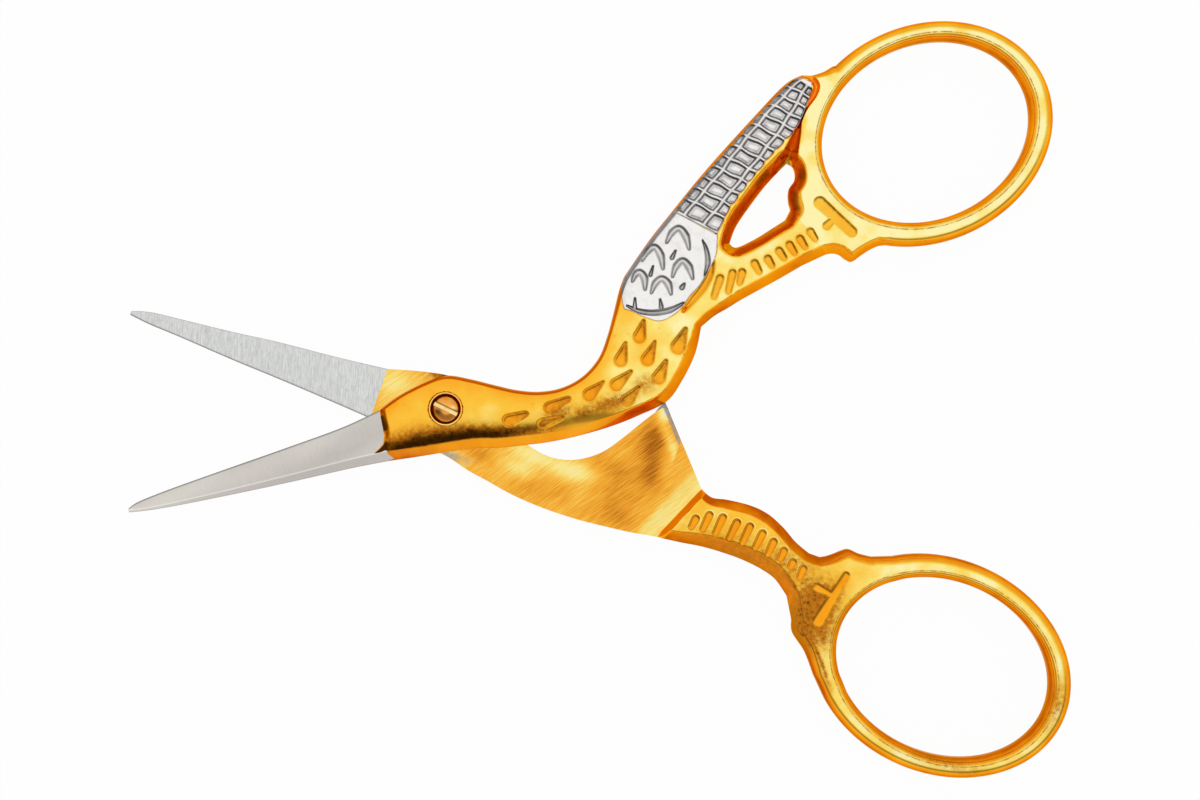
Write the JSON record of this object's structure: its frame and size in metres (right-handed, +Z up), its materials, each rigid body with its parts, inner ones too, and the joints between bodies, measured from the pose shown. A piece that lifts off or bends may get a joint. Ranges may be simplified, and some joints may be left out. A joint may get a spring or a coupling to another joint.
{
  "type": "embroidery scissors",
  "caption": "Embroidery scissors shaped as a stork: the blades are its beak, a screw is its eye, and its legs run into oval finger bows. The halves turn on the screw.",
  "frame": {"origin": "on the axis of the pivot screw, in the plane of the surface that the scissors lie on", "axes": "+X from the pivot towards the finger bows, -X towards the tips, +Y towards the bow of the front half, +Z up, out of the face with the screw head"},
  "size_m": [0.0827, 0.0665, 0.0033],
  "materials": {
    "blade_steel": "bare steel, ground across the blade, with a polished band along the spine",
    "gold_plating": "polished gold-coloured plating over forged steel, brightest on the raised forms",
    "silver_plating": "silver-coloured plating, dark in the grooves and worn bright on the ridges"
  },
  "bodies": {
    "front_half": {"front_blade": "blade_steel", "front_neck": "gold_plating", "front_wing": "silver_plating", "front_leg": "gold_plating", "front_bow": "gold_plating"},
    "back_half": {"back_blade": "blade_steel", "back_neck": "gold_plating", "back_leg": "gold_plating", "back_bow": "gold_plating", "pivot_screw": "gold_plating"}
  },
  "joints": [
    {"name": "pivot", "type": "hinge", "parent": "front_half", "child": "back_half", "pos_m": [0, 0, 0.00165], "axis": [0, 0, 1], "range_deg": [-119, 34.2]}
  ]
}
